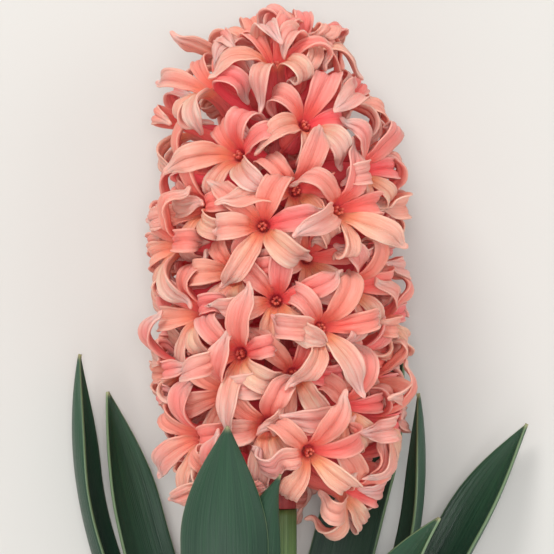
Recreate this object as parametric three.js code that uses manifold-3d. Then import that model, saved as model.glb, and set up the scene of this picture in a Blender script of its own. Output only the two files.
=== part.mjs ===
// A cut hyacinth lying on its back: a dense head of six-lobed florets on a bare stalk, eight strap leaves
// that sheathe the stalk's foot, and the slice of bulb plate that holds stalk and leaves together.
// Millimetres. +Y runs from the cut end to the top of the head, +Z is up, and the flower lies on z = 0.
import * as THREE from 'three';
import Module from 'manifold-3d';

const wasm = await Module();
wasm.setup();

// Driving dimensions
const STALK_X = -6.5; // the stalk and the head share this plane
const HEAD_AXIS_Z = 35; // the head's radius, less what its lowest lobes are pressed flat
const HEAD_FOOT_Y = -10;
const HEAD_TOP_Y = 109;
const PLATE_RADIUS = 15.5;
const PLATE_THICKNESS = 4;
const PLATE_SIDES = 28;
const CUT_END_Y = -129;
const SEAT_GAP = 0.3; // between pieces that touch

const STALK_RADIUS = 5.2;
const RACHIS_RADIUS_AT_FOOT = 5;
const RACHIS_RADIUS_AT_TOP = 2.4;

const FLORETS = 72;
const LOBES = 6;
const GOLDEN_ANGLE = THREE.MathUtils.degToRad(137.508);
const FIRST_TURN = THREE.MathUtils.degToRad(35);
const LOWEST_PEDICEL_Y = 5;
const HIGHEST_PEDICEL_Y = 106;
const REACH = 27; // from the rachis axis to a floret's throat
const REACH_AT_TOP = 16;
const TIERS = 3; // crowded florets stand at three depths, so that their lobes pass each other
const TIER_STEP = 3;
const LOBE_SPIN = THREE.MathUtils.degToRad(10); // round the floret's axis, from the crosswise direction
const THROAT_RADIUS = 3.5;
const THROAT_DEPTH = 2.5;
const TUBE_WAIST = { depth: 5, radius: 2.6 };
const PEDICEL_RADIUS = 1.8;
const PEDICEL_SIDES = 3;
const LOBE_LENGTH = 14;
const LOBE_THICKNESS = 1;
const LOBE_ROOT_HALF_ANGLE = THREE.MathUtils.degToRad(24);
const LOBE_STATIONS = [0, 0.52, 1]; // share of the lobe's length
const LOBE_WIDTHS = [0, 5.7, 0];
const LOBE_START_ANGLE = THREE.MathUtils.degToRad(15); // from the tube's axis
const LOBE_CURL = [THREE.MathUtils.degToRad(150), THREE.MathUtils.degToRad(118)]; // outer and inner whorl

const SIMPLIFY_WITHIN = 0.2; // how far the fused head may move from its florets' faces

const LEAF_THICKNESS = 1.5;
const LEAF_TIP_TAPER = 36; // length over which the tip narrows
const LEAF_STATIONS = 15;
const LEAF_ACROSS = [-1, -0.67, -0.33, 0, 0.33, 0.67, 1];
const LEAF_CLEARANCE = 0.35;
const FIRST_RING_RADIUS = 7.6;
const RING_PITCH = 2.2;

// Each leaf: its place in the sheath (ring from the stalk outwards, angle round the stalk from +X towards +Z, and
// half the angle it wraps), its greatest width, and the run of its midline: a straight rise, a lean and a tip.
// facing is the way its inner side looks at the tip.
const LEAVES = [
  { name: 'leaf_front', ring: 2, angle: 128, wrap: 38, width: 26, fold: 34,
    rise: [-15, -85, 27], lean: [-26, -40, 68], tip: [-20.4, 15.7, 77], facing: [0.1, 0, -1] },
  { name: 'leaf_front_inner', ring: 0, angle: 120, wrap: 58, width: 17, fold: 32,
    rise: [-11, -90, 23], lean: [-25, -38, 60], tip: [-5.9, 2, 70.5], facing: [-0.1, 0, -1] },
  { name: 'leaf_left_outer', ring: 3, angle: 185, wrap: 52, width: 23, fold: 50,
    rise: [-24, -85, 13], lean: [-76, -35, 11], tip: [-64.7, 33.7, 11], facing: [1, 0, 0.15] },
  { name: 'leaf_left_inner', ring: 1, angle: 192, wrap: 48, width: 20, fold: 40,
    rise: [-17, -90, 12], lean: [-48, -45, 8.5], tip: [-56.7, 22.6, 9], facing: [0.7, 0, 0.7] },
  { name: 'leaf_right_outer', ring: 3, angle: -10, wrap: 52, width: 22, fold: 52,
    rise: [12, -85, 12], lean: [42, -35, 8], tip: [66.7, 13.1, 8], facing: [-0.85, 0, 0.55] },
  { name: 'leaf_right_inner', ring: 1, angle: -28, wrap: 36, width: 19, fold: 44,
    rise: [5, -85, 12], lean: [43, -35, 25], tip: [33.5, 22.9, 30], facing: [-1, 0, 0.15] },
  { name: 'leaf_right_front', ring: 2, angle: 52, wrap: 34, width: 20, fold: 42,
    rise: [4, -92, 26], lean: [16, -42, 40], tip: [38.9, -11.7, 47], facing: [-0.7, 0, 0.7] },
  { name: 'leaf_behind', ring: 2, angle: 280, wrap: 36, width: 20, fold: 26,
    rise: [-5, -90, 3.5], lean: [9, -35, 1.5], tip: [30, 36, 10], facing: [-0.4, 0, 1] },
];

const vec = (x, y, z) => new THREE.Vector3(x, y, z);
const mix = THREE.MathUtils.lerp;
const smoothstep = THREE.MathUtils.smoothstep;
const radians = THREE.MathUtils.degToRad;

// A repeatable draw from -1 to 1 for a floret, a lobe and a use.
function draw(floret, lobe, use) {
  const value = Math.sin(floret * 12.9898 + lobe * 78.233 + use * 37.719) * 43758.5453;
  return 2 * (value - Math.floor(value)) - 1;
}

function meshSolid(points, faces) {
  const vertProperties = new Float32Array(points.flatMap((p) => [p.x, p.y, p.z]));
  return new wasm.Manifold(new wasm.Mesh({ numProp: 3, vertProperties, triVerts: new Uint32Array(faces.flat()) }));
}

function geometryOf(solid) {
  const { vertProperties, triVerts } = solid.getMesh();
  const geometry = new THREE.BufferGeometry();
  geometry.setAttribute('position', new THREE.BufferAttribute(vertProperties, 3));
  geometry.setIndex(new THREE.BufferAttribute(triVerts, 1));
  geometry.computeVertexNormals();
  return geometry;
}

// Rings of points, each anticlockwise seen from the far end, skinned into a closed solid. closeEnd lists the
// triangles that close a ring, seen from the far end. From the point mirroredFrom on, a ring's quads are split the
// other way, so that the two faces of a blade are split alike.
function loft(rings, closeEnd, mirroredFrom = Infinity) {
  const count = rings[0].length;
  const last = (rings.length - 1) * count;
  const faces = [];
  for (let k = 0; k + 1 < rings.length; k += 1) {
    for (let j = 0; j < count; j += 1) {
      const a = k * count + j;
      const b = k * count + ((j + 1) % count);
      if (j < mirroredFrom) {
        faces.push([a, b, b + count], [a, b + count, a + count]);
      } else {
        faces.push([a, b, a + count], [b, b + count, a + count]);
      }
    }
  }
  for (const [a, b, c] of closeEnd) {
    faces.push([a, c, b], [last + a, last + b, last + c]);
  }
  return meshSolid(rings.flat(), faces);
}

function fan(count) {
  return Array.from({ length: count - 2 }, (_, j) => [0, j + 1, j + 2]);
}

// Stalk and rachis

// The height of the stalk's axis: level in the sheath and in the head, with an S bend between them.
function stalkHeight(y) {
  return mix(PLATE_RADIUS, HEAD_AXIS_Z, smoothstep(y, CUT_END_Y + 25, HEAD_FOOT_Y - 5));
}

function roundRing(centre, radius, sides) {
  return Array.from({ length: sides }, (_, j) => {
    const angle = (2 * Math.PI * (j + 0.5)) / sides;
    return vec(centre.x - radius * Math.cos(angle), centre.y, centre.z + radius * Math.sin(angle));
  });
}

function rod(fromY, toY, steps, sides, radiusAt, heightAt) {
  const rings = [];
  for (let k = 0; k <= steps; k += 1) {
    const y = mix(fromY, toY, k / steps);
    rings.push(roundRing(vec(STALK_X, y, heightAt(y)), radiusAt(k / steps), sides));
  }
  return loft(rings, fan(sides));
}

// Florets

// Where floret i stands: its root on the rachis, its axis and its throat. They wind up the rachis by the golden
// angle, droop a little at the foot of the head and stand up at its top.
function floretPlace(i) {
  const share = (i + 0.5) / FLORETS;
  const turn = FIRST_TURN - i * GOLDEN_ANGLE + radians(7) * draw(i, 0, 1);
  const droop = 12 * (1 - smoothstep(share, 0, 0.12));
  const lift = radians(-10 + 20 * share - droop + 60 * smoothstep(share, 0.75, 1.02) + 4 * draw(i, 0, 2));
  const reach = mix(REACH, REACH_AT_TOP, smoothstep(share, 0.8, 1.04)) + TIER_STEP * (i % TIERS - 1);
  const root = vec(STALK_X, mix(LOWEST_PEDICEL_Y, HIGHEST_PEDICEL_Y, share), HEAD_AXIS_Z);
  const outward = vec(Math.cos(turn), 0, Math.sin(turn));
  const axis = outward.clone().multiplyScalar(Math.cos(lift)).add(vec(0, Math.sin(lift), 0));
  return { root, axis, reach, throat: root.clone().addScaledVector(axis, reach) };
}

// One floret: a tube from the rachis to the throat, whose rim carries six lobes that roll back.
// A lobe's section is a triangle, with a flat inner side and a keel.
function floretSolid(i) {
  const { axis, reach, throat } = floretPlace(i);
  const side = vec(0, 1, 0).cross(axis).normalize();
  const up = axis.clone().cross(side);
  const size = mix(1, 0.85, smoothstep(i / FLORETS, 0.8, 1));
  const points = [];
  const faces = [];
  const put = (p) => points.push(p) - 1;
  const around = (angle) => side.clone().multiplyScalar(Math.cos(angle)).addScaledVector(up, Math.sin(angle));
  const onTube = (angle, radius, depth) =>
    throat.clone().addScaledVector(around(angle), radius).addScaledVector(axis, -depth);

  const throatFloor = put(throat.clone().addScaledVector(axis, -THROAT_DEPTH));
  const spin = LOBE_SPIN + radians(7) * draw(i, 0, 4);
  const rim = [];
  for (let lobe = 0; lobe < LOBES; lobe += 1) {
    const azimuth = spin + (lobe * 2 * Math.PI) / LOBES + radians(3) * draw(i, lobe, 5);
    const radial = around(azimuth);
    const curl = LOBE_CURL[lobe % 2] + radians(14) * draw(i, lobe, 6);
    const length = size * (LOBE_LENGTH + 1.5 * draw(i, lobe, 7));
    const lean = 3 * draw(i, lobe, 8);
    const right = put(onTube(azimuth - LOBE_ROOT_HALF_ANGLE, THROAT_RADIUS, 0));
    const keel = put(onTube(azimuth, THROAT_RADIUS, LOBE_THICKNESS));
    const left = put(onTube(azimuth + LOBE_ROOT_HALF_ANGLE, THROAT_RADIUS, 0));
    rim.push({ right, keel, left, azimuth });
    let section = { right, keel, left };
    LOBE_STATIONS.slice(1).forEach((station, n) => {
      const bend = curl - LOBE_START_ANGLE;
      const angle = LOBE_START_ANGLE + bend * station;
      const out = THROAT_RADIUS + (length / bend) * (Math.cos(LOBE_START_ANGLE) - Math.cos(angle));
      const forward = (length / bend) * (Math.sin(angle) - Math.sin(LOBE_START_ANGLE));
      const along = radial.clone().multiplyScalar(Math.sin(angle)).addScaledVector(axis, Math.cos(angle));
      const inner = axis.clone().multiplyScalar(Math.sin(angle)).addScaledVector(radial, -Math.cos(angle));
      const across = along.clone().cross(inner);
      const middle = throat.clone().addScaledVector(radial, out).addScaledVector(axis, forward);
      middle.addScaledVector(across, lean * station * station);
      if (station === 1) {
        const tip = put(middle);
        faces.push([section.left, section.right, tip], [section.right, section.keel, tip]);
        faces.push([section.keel, section.left, tip]);
        return;
      }
      const half = (size * LOBE_WIDTHS[n + 1]) / 2;
      const next = {
        right: put(middle.clone().addScaledVector(across, half)),
        keel: put(middle.clone().addScaledVector(inner, -LOBE_THICKNESS)),
        left: put(middle.clone().addScaledVector(across, -half)),
      };
      for (const [a, b] of [['left', 'right'], ['right', 'keel'], ['keel', 'left']]) {
        faces.push([section[a], section[b], next[b]], [section[a], next[b], next[a]]);
      }
      section = next;
    });
  }

  const waist = rim.map(({ azimuth }) => put(onTube(azimuth, TUBE_WAIST.radius, TUBE_WAIST.depth)));
  const foot = [];
  for (let k = 0; k < PEDICEL_SIDES; k += 1) {
    foot.push(put(onTube(rim[2 * k].azimuth, PEDICEL_RADIUS, reach - 1)));
  }
  for (let lobe = 0; lobe < LOBES; lobe += 1) {
    const after = (lobe + 1) % LOBES;
    const { right, keel, left } = rim[lobe];
    const nextRight = rim[after].right;
    const below = foot[Math.floor(after / 2) % PEDICEL_SIDES];
    faces.push([throatFloor, right, left], [throatFloor, left, nextRight]);
    faces.push([keel, right, waist[lobe]], [left, keel, waist[lobe]]);
    faces.push([nextRight, left, waist[lobe]], [nextRight, waist[lobe], waist[after]]);
    faces.push([waist[after], waist[lobe], below]);
  }
  for (let k = 0; k < PEDICEL_SIDES; k += 1) {
    const next = (k + 1) % PEDICEL_SIDES;
    faces.push([waist[2 * k + 1], foot[k], foot[next]]);
  }
  faces.push([foot[0], foot[2], foot[1]]);
  return meshSolid(points, faces);
}

// Leaves

function leafMidline(leaf) {
  const ringRadius = FIRST_RING_RADIUS + RING_PITCH * leaf.ring;
  const angle = radians(leaf.angle);
  const outward = vec(Math.cos(angle), 0, Math.sin(angle));
  const footY = CUT_END_Y + PLATE_THICKNESS + SEAT_GAP;
  const foot = vec(STALK_X, footY, PLATE_RADIUS).addScaledVector(outward, ringRadius);
  const curve = new THREE.CubicBezierCurve3(foot, vec(...leaf.rise), vec(...leaf.lean), vec(...leaf.tip));
  return { curve, outward, ringRadius };
}

// A strap with a channelled section: an arc that wraps the stalk at the foot, opens out in the middle and closes to
// a hood at the tip. grow thickens and widens it, for cutting clearance.
function leafSolid(leaf, grow = 0) {
  const { curve, outward, ringRadius } = leafMidline(leaf);
  const length = curve.getLength();
  const wrap = radians(leaf.wrap);
  const footWidth = 2 * wrap * ringRadius;
  const rings = [];
  for (let k = 0; k < LEAF_STATIONS; k += 1) {
    const share = k / (LEAF_STATIONS - 1);
    const station = 0.995 * (1 - (1 - share) ** 1.35);
    const middle = curve.getPointAt(station);
    const along = curve.getTangentAt(station);
    const toTip = length * (1 - station);
    const taper = Math.sin((Math.PI / 2) * Math.min(1, toTip / LEAF_TIP_TAPER));
    const width = mix(footWidth, leaf.width, smoothstep(station, 0.05, 0.55)) * taper + 2 * grow;
    const open = mix(wrap, radians(leaf.fold), smoothstep(station, 0.05, 0.6));
    const bend = mix(open, radians(60), smoothstep(station, 0.75, 1));
    const thickness = LEAF_THICKNESS * mix(0.75, 1, taper) + 2 * grow;
    const inner = outward.clone().negate().lerp(vec(...leaf.facing), smoothstep(station, 0.08, 0.65));
    inner.addScaledVector(along, -inner.dot(along)).normalize();
    const across = along.clone().cross(inner);
    const radius = width / (2 * bend);
    const upper = [];
    const lower = [];
    for (const u of LEAF_ACROSS) {
      const angle = u * bend;
      const normal = inner.clone().multiplyScalar(Math.cos(angle)).addScaledVector(across, -Math.sin(angle));
      const skin = middle.clone().addScaledVector(inner, radius).addScaledVector(normal, -radius);
      const half = (thickness / 2) * (1 - 0.45 * u * u);
      upper.push(skin.clone().addScaledVector(normal, half));
      lower.push(skin.clone().addScaledVector(normal, -half));
    }
    rings.push([...upper, ...lower.reverse()]);
  }
  const last = LEAF_ACROSS.length * 2 - 1;
  const strip = [];
  for (let j = 0; j + 1 < LEAF_ACROSS.length; j += 1) {
    strip.push([j, j + 1, last - j - 1], [j, last - j - 1, last - j]);
  }
  return loft(rings, strip, LEAF_ACROSS.length);
}

// The head: rachis and florets as one body, clear of the leaves and pressed flat where it lies on the surface.
function headSolid() {
  const rachis = rod(HEAD_FOOT_Y, HEAD_TOP_Y, 3, 8,
    (share) => mix(RACHIS_RADIUS_AT_FOOT, RACHIS_RADIUS_AT_TOP, share), () => HEAD_AXIS_Z);
  const florets = Array.from({ length: FLORETS }, (_, i) => floretSolid(i));
  const whole = wasm.Manifold.union([rachis, ...florets]);
  const ground = loft([-60, 160].map((y) =>
    [vec(60, y, -40), vec(-80, y, -40), vec(-80, y, 0), vec(60, y, 0)]), fan(4));
  const cutters = [ground, ...LEAVES.map((leaf) => leafSolid(leaf, LEAF_CLEARANCE))];
  const trimmed = whole.subtract(wasm.Manifold.union(cutters)).simplify(SIMPLIFY_WITHIN);
  return trimmed.decompose().sort((a, b) => b.volume() - a.volume())[0];
}

const petalPink = new THREE.MeshStandardMaterial({ color: 0xf0a08c, roughness: 0.6, metalness: 0 });
const leafGreen = new THREE.MeshStandardMaterial({ color: 0x2f5a48, roughness: 0.45, metalness: 0 });
const stalkGreen = new THREE.MeshStandardMaterial({ color: 0x55733f, roughness: 0.5, metalness: 0 });
const plateCream = new THREE.MeshStandardMaterial({ color: 0xcdbf93, roughness: 0.8, metalness: 0 });

const hyacinth = new THREE.Group();

function addPiece(name, solid, material) {
  const mesh = new THREE.Mesh(geometryOf(solid), material);
  mesh.name = name;
  hyacinth.add(mesh);
}

addPiece('flower_head', headSolid(), petalPink);
addPiece('scape', rod(CUT_END_Y + PLATE_THICKNESS + SEAT_GAP, HEAD_FOOT_Y - SEAT_GAP, 8, 12,
  () => STALK_RADIUS, stalkHeight), stalkGreen);
addPiece('basal_plate', rod(CUT_END_Y, CUT_END_Y + PLATE_THICKNESS, 1, PLATE_SIDES,
  () => PLATE_RADIUS / Math.cos(Math.PI / PLATE_SIDES), () => PLATE_RADIUS), plateCream);
for (const leaf of LEAVES) {
  addPiece(leaf.name, leafSolid(leaf), leafGreen);
}

export default hyacinth;
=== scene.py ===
"""A cut hyacinth lying on its back, dressed round its CAD model: a dense head of florets whose petals open
and push each other aside, a bare stalk, strap leaves and the slice of bulb plate that holds them. Shapes
are in millimetres until a mesh is made."""

import itertools
import math

import bpy
import numpy as np
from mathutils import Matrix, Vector


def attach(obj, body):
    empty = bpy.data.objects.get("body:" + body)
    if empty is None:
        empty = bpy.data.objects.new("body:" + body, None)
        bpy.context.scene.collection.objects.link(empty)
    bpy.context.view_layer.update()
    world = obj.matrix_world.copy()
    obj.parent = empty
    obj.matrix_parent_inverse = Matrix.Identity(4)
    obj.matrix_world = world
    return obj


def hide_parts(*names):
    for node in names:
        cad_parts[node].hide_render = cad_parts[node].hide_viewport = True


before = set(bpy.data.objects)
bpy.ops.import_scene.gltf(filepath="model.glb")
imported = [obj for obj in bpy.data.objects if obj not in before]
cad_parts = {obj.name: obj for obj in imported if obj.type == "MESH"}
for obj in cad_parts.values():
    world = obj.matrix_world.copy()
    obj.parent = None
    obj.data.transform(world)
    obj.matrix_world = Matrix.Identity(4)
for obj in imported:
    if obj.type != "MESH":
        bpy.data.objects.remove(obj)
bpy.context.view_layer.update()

MM = 0.001

# The plant's plan, as in the CAD model
STALK_X = -6.5
HEAD_AXIS_Z = 35.0
HEAD_FOOT_Y = -10.0
HEAD_TOP_Y = 109.0
PLATE_RADIUS = 15.5
PLATE_THICKNESS = 4.0
CUT_END_Y = -129.0
SEAT_GAP = 0.3
STALK_RADIUS = 5.2
RACHIS_RADIUS_AT_FOOT = 5.0
RACHIS_RADIUS_AT_TOP = 2.4

# How the florets stand on the rachis, with lifts and droops in degrees
FLORETS = 72
LOBES = 6
GOLDEN_ANGLE = math.radians(137.508)
FIRST_TURN = math.radians(35)
TURN_STRAY = math.radians(7)
LOWEST_PEDICEL_Y = 5.0
HIGHEST_PEDICEL_Y = 106.0
LIFT_AT_FOOT = -10
LIFT_ALONG_HEAD = 20
LIFT_AT_TOP = 60
LIFT_STRAY = 4
DROOP_AT_FOOT = 12
REACH = 27.0
REACH_AT_TOP = 16.0
TIERS = 3
TIER_STEP = 3.0
LOBE_SPIN = math.radians(10)
SPIN_STRAY = math.radians(7)

# Florets that stayed small or grew large, and the one petal at the top that stands nearly straight
SIZE_AT_TOP = 0.93
FLORET_SIZES = {2: 0.8, 4: 0.76, 8: 0.94, 16: 0.92, 20: 0.86, 25: 0.92, 29: 0.9, 57: 1.06, 60: 1.08,
                62: 0.94, 63: 1.12}
STRAIGHT_PETAL = (67, 5)

# The petals
THROAT_RADIUS = 3.0
PETAL_LENGTH = 22.0
RIM_HALF_WIDTH = 1.5
FULL_HALF_WIDTH = 3.4
TIP_NARROWING = 0.72
PETAL_ROWS = 12
PETAL_COLUMNS = 7
PETAL_THICKNESS = 0.7
NUB_FROM = 0.93
FINE_ROWS = 25
FINE_COLUMNS = 13

LEAF_THICKNESS = 1.5
LEAF_TIP_TAPER = 36.0
FIRST_RING_RADIUS = 7.6
RING_PITCH = 2.2

LEAVES = [
    dict(name="leaf_front", ring=2, angle=128, wrap=38, width=26, fold=34,
         rise=(-15, -85, 27), lean=(-26, -40, 68), tip=(-20.4, 15.7, 77), facing=(0.1, 0, -1)),
    dict(name="leaf_front_inner", ring=0, angle=120, wrap=58, width=17, fold=32,
         rise=(-11, -90, 23), lean=(-25, -38, 60), tip=(-5.9, 2, 70.5), facing=(-0.1, 0, -1)),
    dict(name="leaf_left_outer", ring=3, angle=185, wrap=52, width=23, fold=50,
         rise=(-24, -85, 13), lean=(-76, -35, 11), tip=(-64.7, 33.7, 11), facing=(1, 0, 0.15)),
    dict(name="leaf_left_inner", ring=1, angle=192, wrap=48, width=20, fold=40,
         rise=(-17, -90, 12), lean=(-48, -45, 8.5), tip=(-56.7, 22.6, 9), facing=(0.7, 0, 0.7)),
    dict(name="leaf_right_outer", ring=3, angle=-10, wrap=52, width=22, fold=52,
         rise=(12, -85, 12), lean=(42, -35, 8), tip=(66.7, 13.1, 8), facing=(-0.85, 0, 0.55)),
    dict(name="leaf_right_inner", ring=1, angle=-28, wrap=36, width=19, fold=44,
         rise=(5, -85, 12), lean=(43, -35, 25), tip=(33.5, 22.9, 30), facing=(-1, 0, 0.15)),
    dict(name="leaf_right_front", ring=2, angle=52, wrap=34, width=20, fold=42,
         rise=(4, -92, 26), lean=(16, -42, 40), tip=(38.9, -11.7, 47), facing=(-0.7, 0, 0.7)),
    dict(name="leaf_behind", ring=2, angle=280, wrap=36, width=20, fold=26,
         rise=(-5, -90, 3.5), lean=(9, -35, 1.5), tip=(30, 36, 10), facing=(-0.4, 0, 1)),
]


def mix(a, b, share):
    return a + (b - a) * share


def eased(t):
    t = np.clip(t, 0, 1)
    return t * t * (3 - 2 * t)


def smoothstep(x, low, high):
    return eased((np.asarray(x, float) - low) / (high - low))


def draw(floret, lobe, use):
    """A repeatable draw from -1 to 1 for a floret, a lobe and a use, the same as in the CAD model."""
    value = math.sin(floret * 12.9898 + lobe * 78.233 + use * 37.719) * 43758.5453
    return 2 * (value - math.floor(value)) - 1


def unit(vectors):
    return vectors / np.maximum(np.linalg.norm(vectors, axis=-1, keepdims=True), 1e-9)


def direction(turns, first, second):
    """Directions in the plane of two others, at these turns from the first."""
    return np.cos(turns)[..., None] * first + np.sin(turns)[..., None] * second


def even_turns(count):
    return np.arange(count) * math.tau / count


# Meshes

def quad_corners(grid):
    """The four corners of every quad of a grid of point numbers or of texture places."""
    corners = np.stack([grid[:-1, :-1], grid[:-1, 1:], grid[1:, 1:], grid[1:, :-1]], axis=2)
    return corners.reshape(-1, 4, *grid.shape[2:])


def texture_grid(across, up):
    return np.stack(np.meshgrid(across, up), axis=-1)


def texture_patch(rows, columns, x, y):
    """A grid of texture places that fills the rectangle x[0]..x[1], y[0]..y[1]."""
    return texture_grid(np.linspace(*x, columns), np.linspace(*y, rows))


class Body:
    """One closed mesh under way: points with named numbers, quads with texture corners, and n-sided caps."""

    def __init__(self):
        self.points, self.values, self.quads, self.corners, self.caps = [], [], [], [], []
        self.count = 0

    def add_points(self, grid, **values):
        """Adds a grid of points, each with its values, and returns the points' numbers in the same grid."""
        numbers = self.count + np.arange(grid[..., 0].size).reshape(grid.shape[:-1])
        self.count += numbers.size
        self.points.append(grid.reshape(-1, 3))
        self.values.append({key: np.broadcast_to(value, numbers.shape).ravel()
                            for key, value in values.items()})
        return numbers

    def add_quads(self, numbers, places, turned=False):
        """Fills a grid of point numbers with quads, which face the other way when turned."""
        way = -1 if turned else 1
        self.quads.append(quad_corners(numbers)[:, ::way])
        self.corners.append(quad_corners(places)[:, ::way])

    def add_cap(self, ring, place, size):
        """Closes a ring of points with one face, a circle on the texture."""
        turns = even_turns(len(ring))
        self.caps.append((ring, np.array(place) + size * np.stack([np.cos(turns), np.sin(turns)], 1)))

    def add_tube(self, rings, x, y, cap_places, cap_size, **values):
        """Adds rings of points as a round body with a cap at each end."""
        numbers = self.add_points(rings, **values)
        closed = np.concatenate([numbers, numbers[:, :1]], axis=1)
        self.add_quads(closed, texture_patch(*closed.shape, x, y))
        self.add_cap(numbers[0][::-1], cap_places[0], cap_size)
        self.add_cap(numbers[-1], cap_places[1], cap_size)

    def finish(self, name, material, node):
        """Makes the mesh, smooth all over, and the piece of the scene that has it."""
        quads = np.concatenate(self.quads)
        loops = np.concatenate([quads.ravel()] + [ring for ring, _ in self.caps]).astype(np.int32)
        places = np.concatenate([np.concatenate(self.corners).reshape(-1, 2)] + [at for _, at in self.caps])
        sizes = np.array([4] * len(quads) + [len(ring) for ring, _ in self.caps])
        starts = np.concatenate([[0], np.cumsum(sizes)[:-1]]).astype(np.int32)
        mesh = bpy.data.meshes.new(name)
        mesh.vertices.add(self.count)
        mesh.vertices.foreach_set("co", (np.concatenate(self.points) * MM).astype(np.float32).ravel())
        mesh.loops.add(len(loops))
        mesh.loops.foreach_set("vertex_index", loops)
        mesh.polygons.add(len(sizes))
        mesh.polygons.foreach_set("loop_start", starts)
        mesh.update(calc_edges=True)
        mesh.polygons.foreach_set("use_smooth", np.ones(len(sizes), bool))
        layer = mesh.uv_layers.new(name="skin")
        layer.uv.foreach_set("vector", places.astype(np.float32).ravel())
        for key in self.values[0]:
            numbers = np.concatenate([values[key] for values in self.values]).astype(np.float32)
            mesh.attributes.new(key, "FLOAT", "POINT").data.foreach_set("value", numbers)
        mesh.materials.append(material)
        piece = bpy.data.objects.new(name, mesh)
        bpy.context.scene.collection.objects.link(piece)
        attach(piece, "root")
        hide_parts(node)


def spline_weights(count, places):
    """Weights that pass a smooth curve through count evenly spaced points, read at places from 0 to 1."""
    weights = np.zeros((len(places), count + 2))
    for row, place in enumerate(np.asarray(places) * (count - 1)):
        k = min(int(place), count - 2)
        t = place - k
        cubic = np.array([-t + 2 * t**2 - t**3, 2 - 5 * t**2 + 3 * t**3, t + 4 * t**2 - 3 * t**3,
                          -t**2 + t**3]) / 2
        weights[row, k:k + 4] += cubic
    inner = weights[:, 1:-1].copy()
    inner[:, 0] += 2 * weights[:, 0]
    inner[:, 1] -= weights[:, 0]
    inner[:, -1] += 2 * weights[:, -1]
    inner[:, -2] -= weights[:, -1]
    return inner


# Florets: where they stand

def floret_place(i):
    """Root on the rachis, axis, reach to the throat, and the floret's own side and up directions."""
    share = (i + 0.5) / FLORETS
    turn = FIRST_TURN - i * GOLDEN_ANGLE + TURN_STRAY * draw(i, 0, 1)
    top = smoothstep(share, 0.75, 1.02)
    droop = DROOP_AT_FOOT * (1 - smoothstep(share, 0, 0.12))
    lift = math.radians(LIFT_AT_FOOT + LIFT_ALONG_HEAD * share - droop + LIFT_AT_TOP * top
                        + LIFT_STRAY * draw(i, 0, 2))
    reach = mix(REACH, REACH_AT_TOP, smoothstep(share, 0.8, 1.04)) + TIER_STEP * (i % TIERS - 1)
    root = np.array([STALK_X, mix(LOWEST_PEDICEL_Y, HIGHEST_PEDICEL_Y, share), HEAD_AXIS_Z])
    axis = np.array([math.cos(turn) * math.cos(lift), math.sin(lift), math.sin(turn) * math.cos(lift)])
    side = unit(np.cross([0, 1, 0], axis))
    size = mix(1, SIZE_AT_TOP, smoothstep(i / FLORETS, 0.8, 1)) * FLORET_SIZES.get(i, 1)
    return dict(axis=axis, side=side, up=np.cross(axis, side), reach=float(reach), throat=root + reach * axis,
                size=float(size), top=float(top), spin=LOBE_SPIN + SPIN_STRAY * draw(i, 0, 4))


PLACES = [floret_place(i) for i in range(FLORETS)]
PETALS = [(i, lobe) for i in range(FLORETS) for lobe in range(LOBES)]


def per_petal(rule):
    return np.array([rule(i, lobe) for i, lobe in PETALS])


def of_floret(key):
    return per_petal(lambda i, lobe: PLACES[i][key])


def strayed(middle, stray, use):
    """A value for each petal: the middle one, and a draw of its own of up to the stray either way."""
    return middle + stray * per_petal(lambda i, lobe: draw(i, lobe, use))


def floret_stray(stray, use):
    """A draw of up to the stray either way, the same for all petals of a floret."""
    return stray * per_petal(lambda i, lobe: draw(i, 0, use))


PETAL_AXIS, PETAL_SIDE, PETAL_UP, PETAL_THROAT, PETAL_SIZE, PETAL_TOP, PETAL_SPIN = [
    of_floret(key) for key in ("axis", "side", "up", "throat", "size", "top", "spin")]
PETAL_FLORET = per_petal(lambda i, lobe: i)
PETAL_LOBE = per_petal(lambda i, lobe: lobe)
PETAL_INNER = PETAL_LOBE % 2
PETAL_STRAIGHT = per_petal(lambda i, lobe: (i, lobe) == STRAIGHT_PETAL)
PETAL_AZIMUTH = strayed(PETAL_SPIN + PETAL_LOBE * math.tau / LOBES, math.radians(8), 5)
PETAL_REACH = PETAL_SIZE * strayed(PETAL_LENGTH, 2.2, 7)
PETAL_WIDTH = strayed(mix(0.92, 1.04, PETAL_INNER), 0.07, 16) * mix(1, 0.88, PETAL_TOP)
PETAL_OPEN = np.radians(np.where(
    PETAL_STRAIGHT, 27, strayed(mix(72, 60, PETAL_INNER), 15, 6) + floret_stray(7, 24)))
PETAL_HOOK = np.radians(np.where(PETAL_STRAIGHT, 20, strayed(126, 50, 9)))
PETAL_TIP_LIFT = np.radians(strayed(64, 40, 21))
PETAL_BEND_AT = strayed(0.55, 0.14, 17)
PETAL_BEND_SPAN = strayed(0.54, 0.22, 18)
PETAL_LEAN = strayed(0, 5.5, 8)
PETAL_TWIST = strayed(0, math.radians(38), 10)
PETAL_CUP = strayed(0.34, 0.24, 11)
PETAL_END_CUP = strayed(-0.04, 0.36, 19)
PETAL_LATE = 0.45 * PETAL_FLORET / FLORETS + 0.16 * PETAL_INNER + 0.3 * (0.5 + floret_stray(0.5, 12))

# A floret's petals meet at these turns round its rim, halfway between neighbours
RIM_TURNS = PETAL_AZIMUTH.reshape(FLORETS, LOBES)
RIM_SEAMS = (RIM_TURNS + np.roll(RIM_TURNS, 1, axis=1)) / 2
RIM_SEAMS[:, 0] -= math.pi
PETAL_SEAMS = np.stack([RIM_SEAMS, np.roll(RIM_SEAMS, -1, axis=1)], axis=-1)
PETAL_SEAMS[:, -1, 1] += math.tau
PETAL_SEAMS = PETAL_SEAMS.reshape(-1, 2)


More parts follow.
